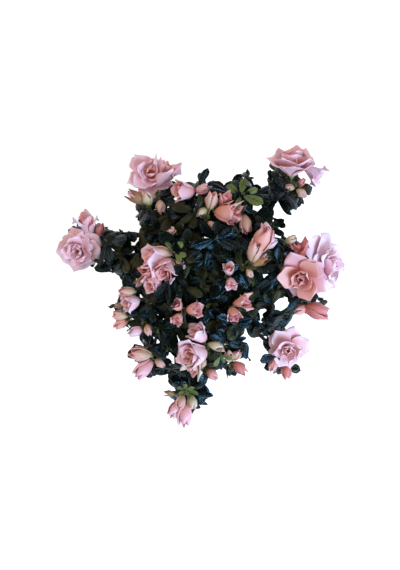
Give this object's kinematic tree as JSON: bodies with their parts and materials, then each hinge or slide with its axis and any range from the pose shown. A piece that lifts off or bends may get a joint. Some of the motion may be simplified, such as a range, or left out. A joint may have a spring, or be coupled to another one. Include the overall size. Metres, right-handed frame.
{
  "type": "potted azalea shrub",
  "caption": "Low domed azalea shrub in bloom, with a short forking trunk, growing in a plain round pot that stands on its flat base.",
  "frame": {"origin": "centre of the pot's flat underside", "axes": "+Z up along the pot's axis; +X and +Y level, with the crown seen from straight above drawn with +X to the right and +Y up"},
  "size_m": [0.3476, 0.3359, 0.3025],
  "materials": {
    "pot": "glossy off-white glaze",
    "soil": "matt dark peat, crumbly",
    "bark": "matt grey-brown bark",
    "foliage": "glossy dark green leaves with pale pink blossom"
  },
  "bodies": {
    "root": {"pot": "pot", "soil": "soil", "trunk": "bark", "bough_centre": "bark", "bough_north_west": "bark", "bough_north_east": "bark", "bough_east": "bark", "bough_south_east": "bark", "bough_south_west": "bark", "bough_west": "bark", "bough_north": "bark", "bough_south": "bark", "bough_south_inner": "bark", "bough_centre_south": "bark", "bough_west_inner": "bark", "bough_west_south_west": "bark", "mass_centre": "foliage", "mass_north_west": "foliage", "mass_north_east": "foliage", "mass_east": "foliage", "mass_south_east": "foliage", "mass_south_west": "foliage", "mass_west": "foliage", "mass_north": "foliage", "mass_south": "foliage", "mass_south_inner": "foliage", "mass_centre_south": "foliage", "mass_west_inner": "foliage", "mass_west_south_west": "foliage"}
  },
  "joints": []
}
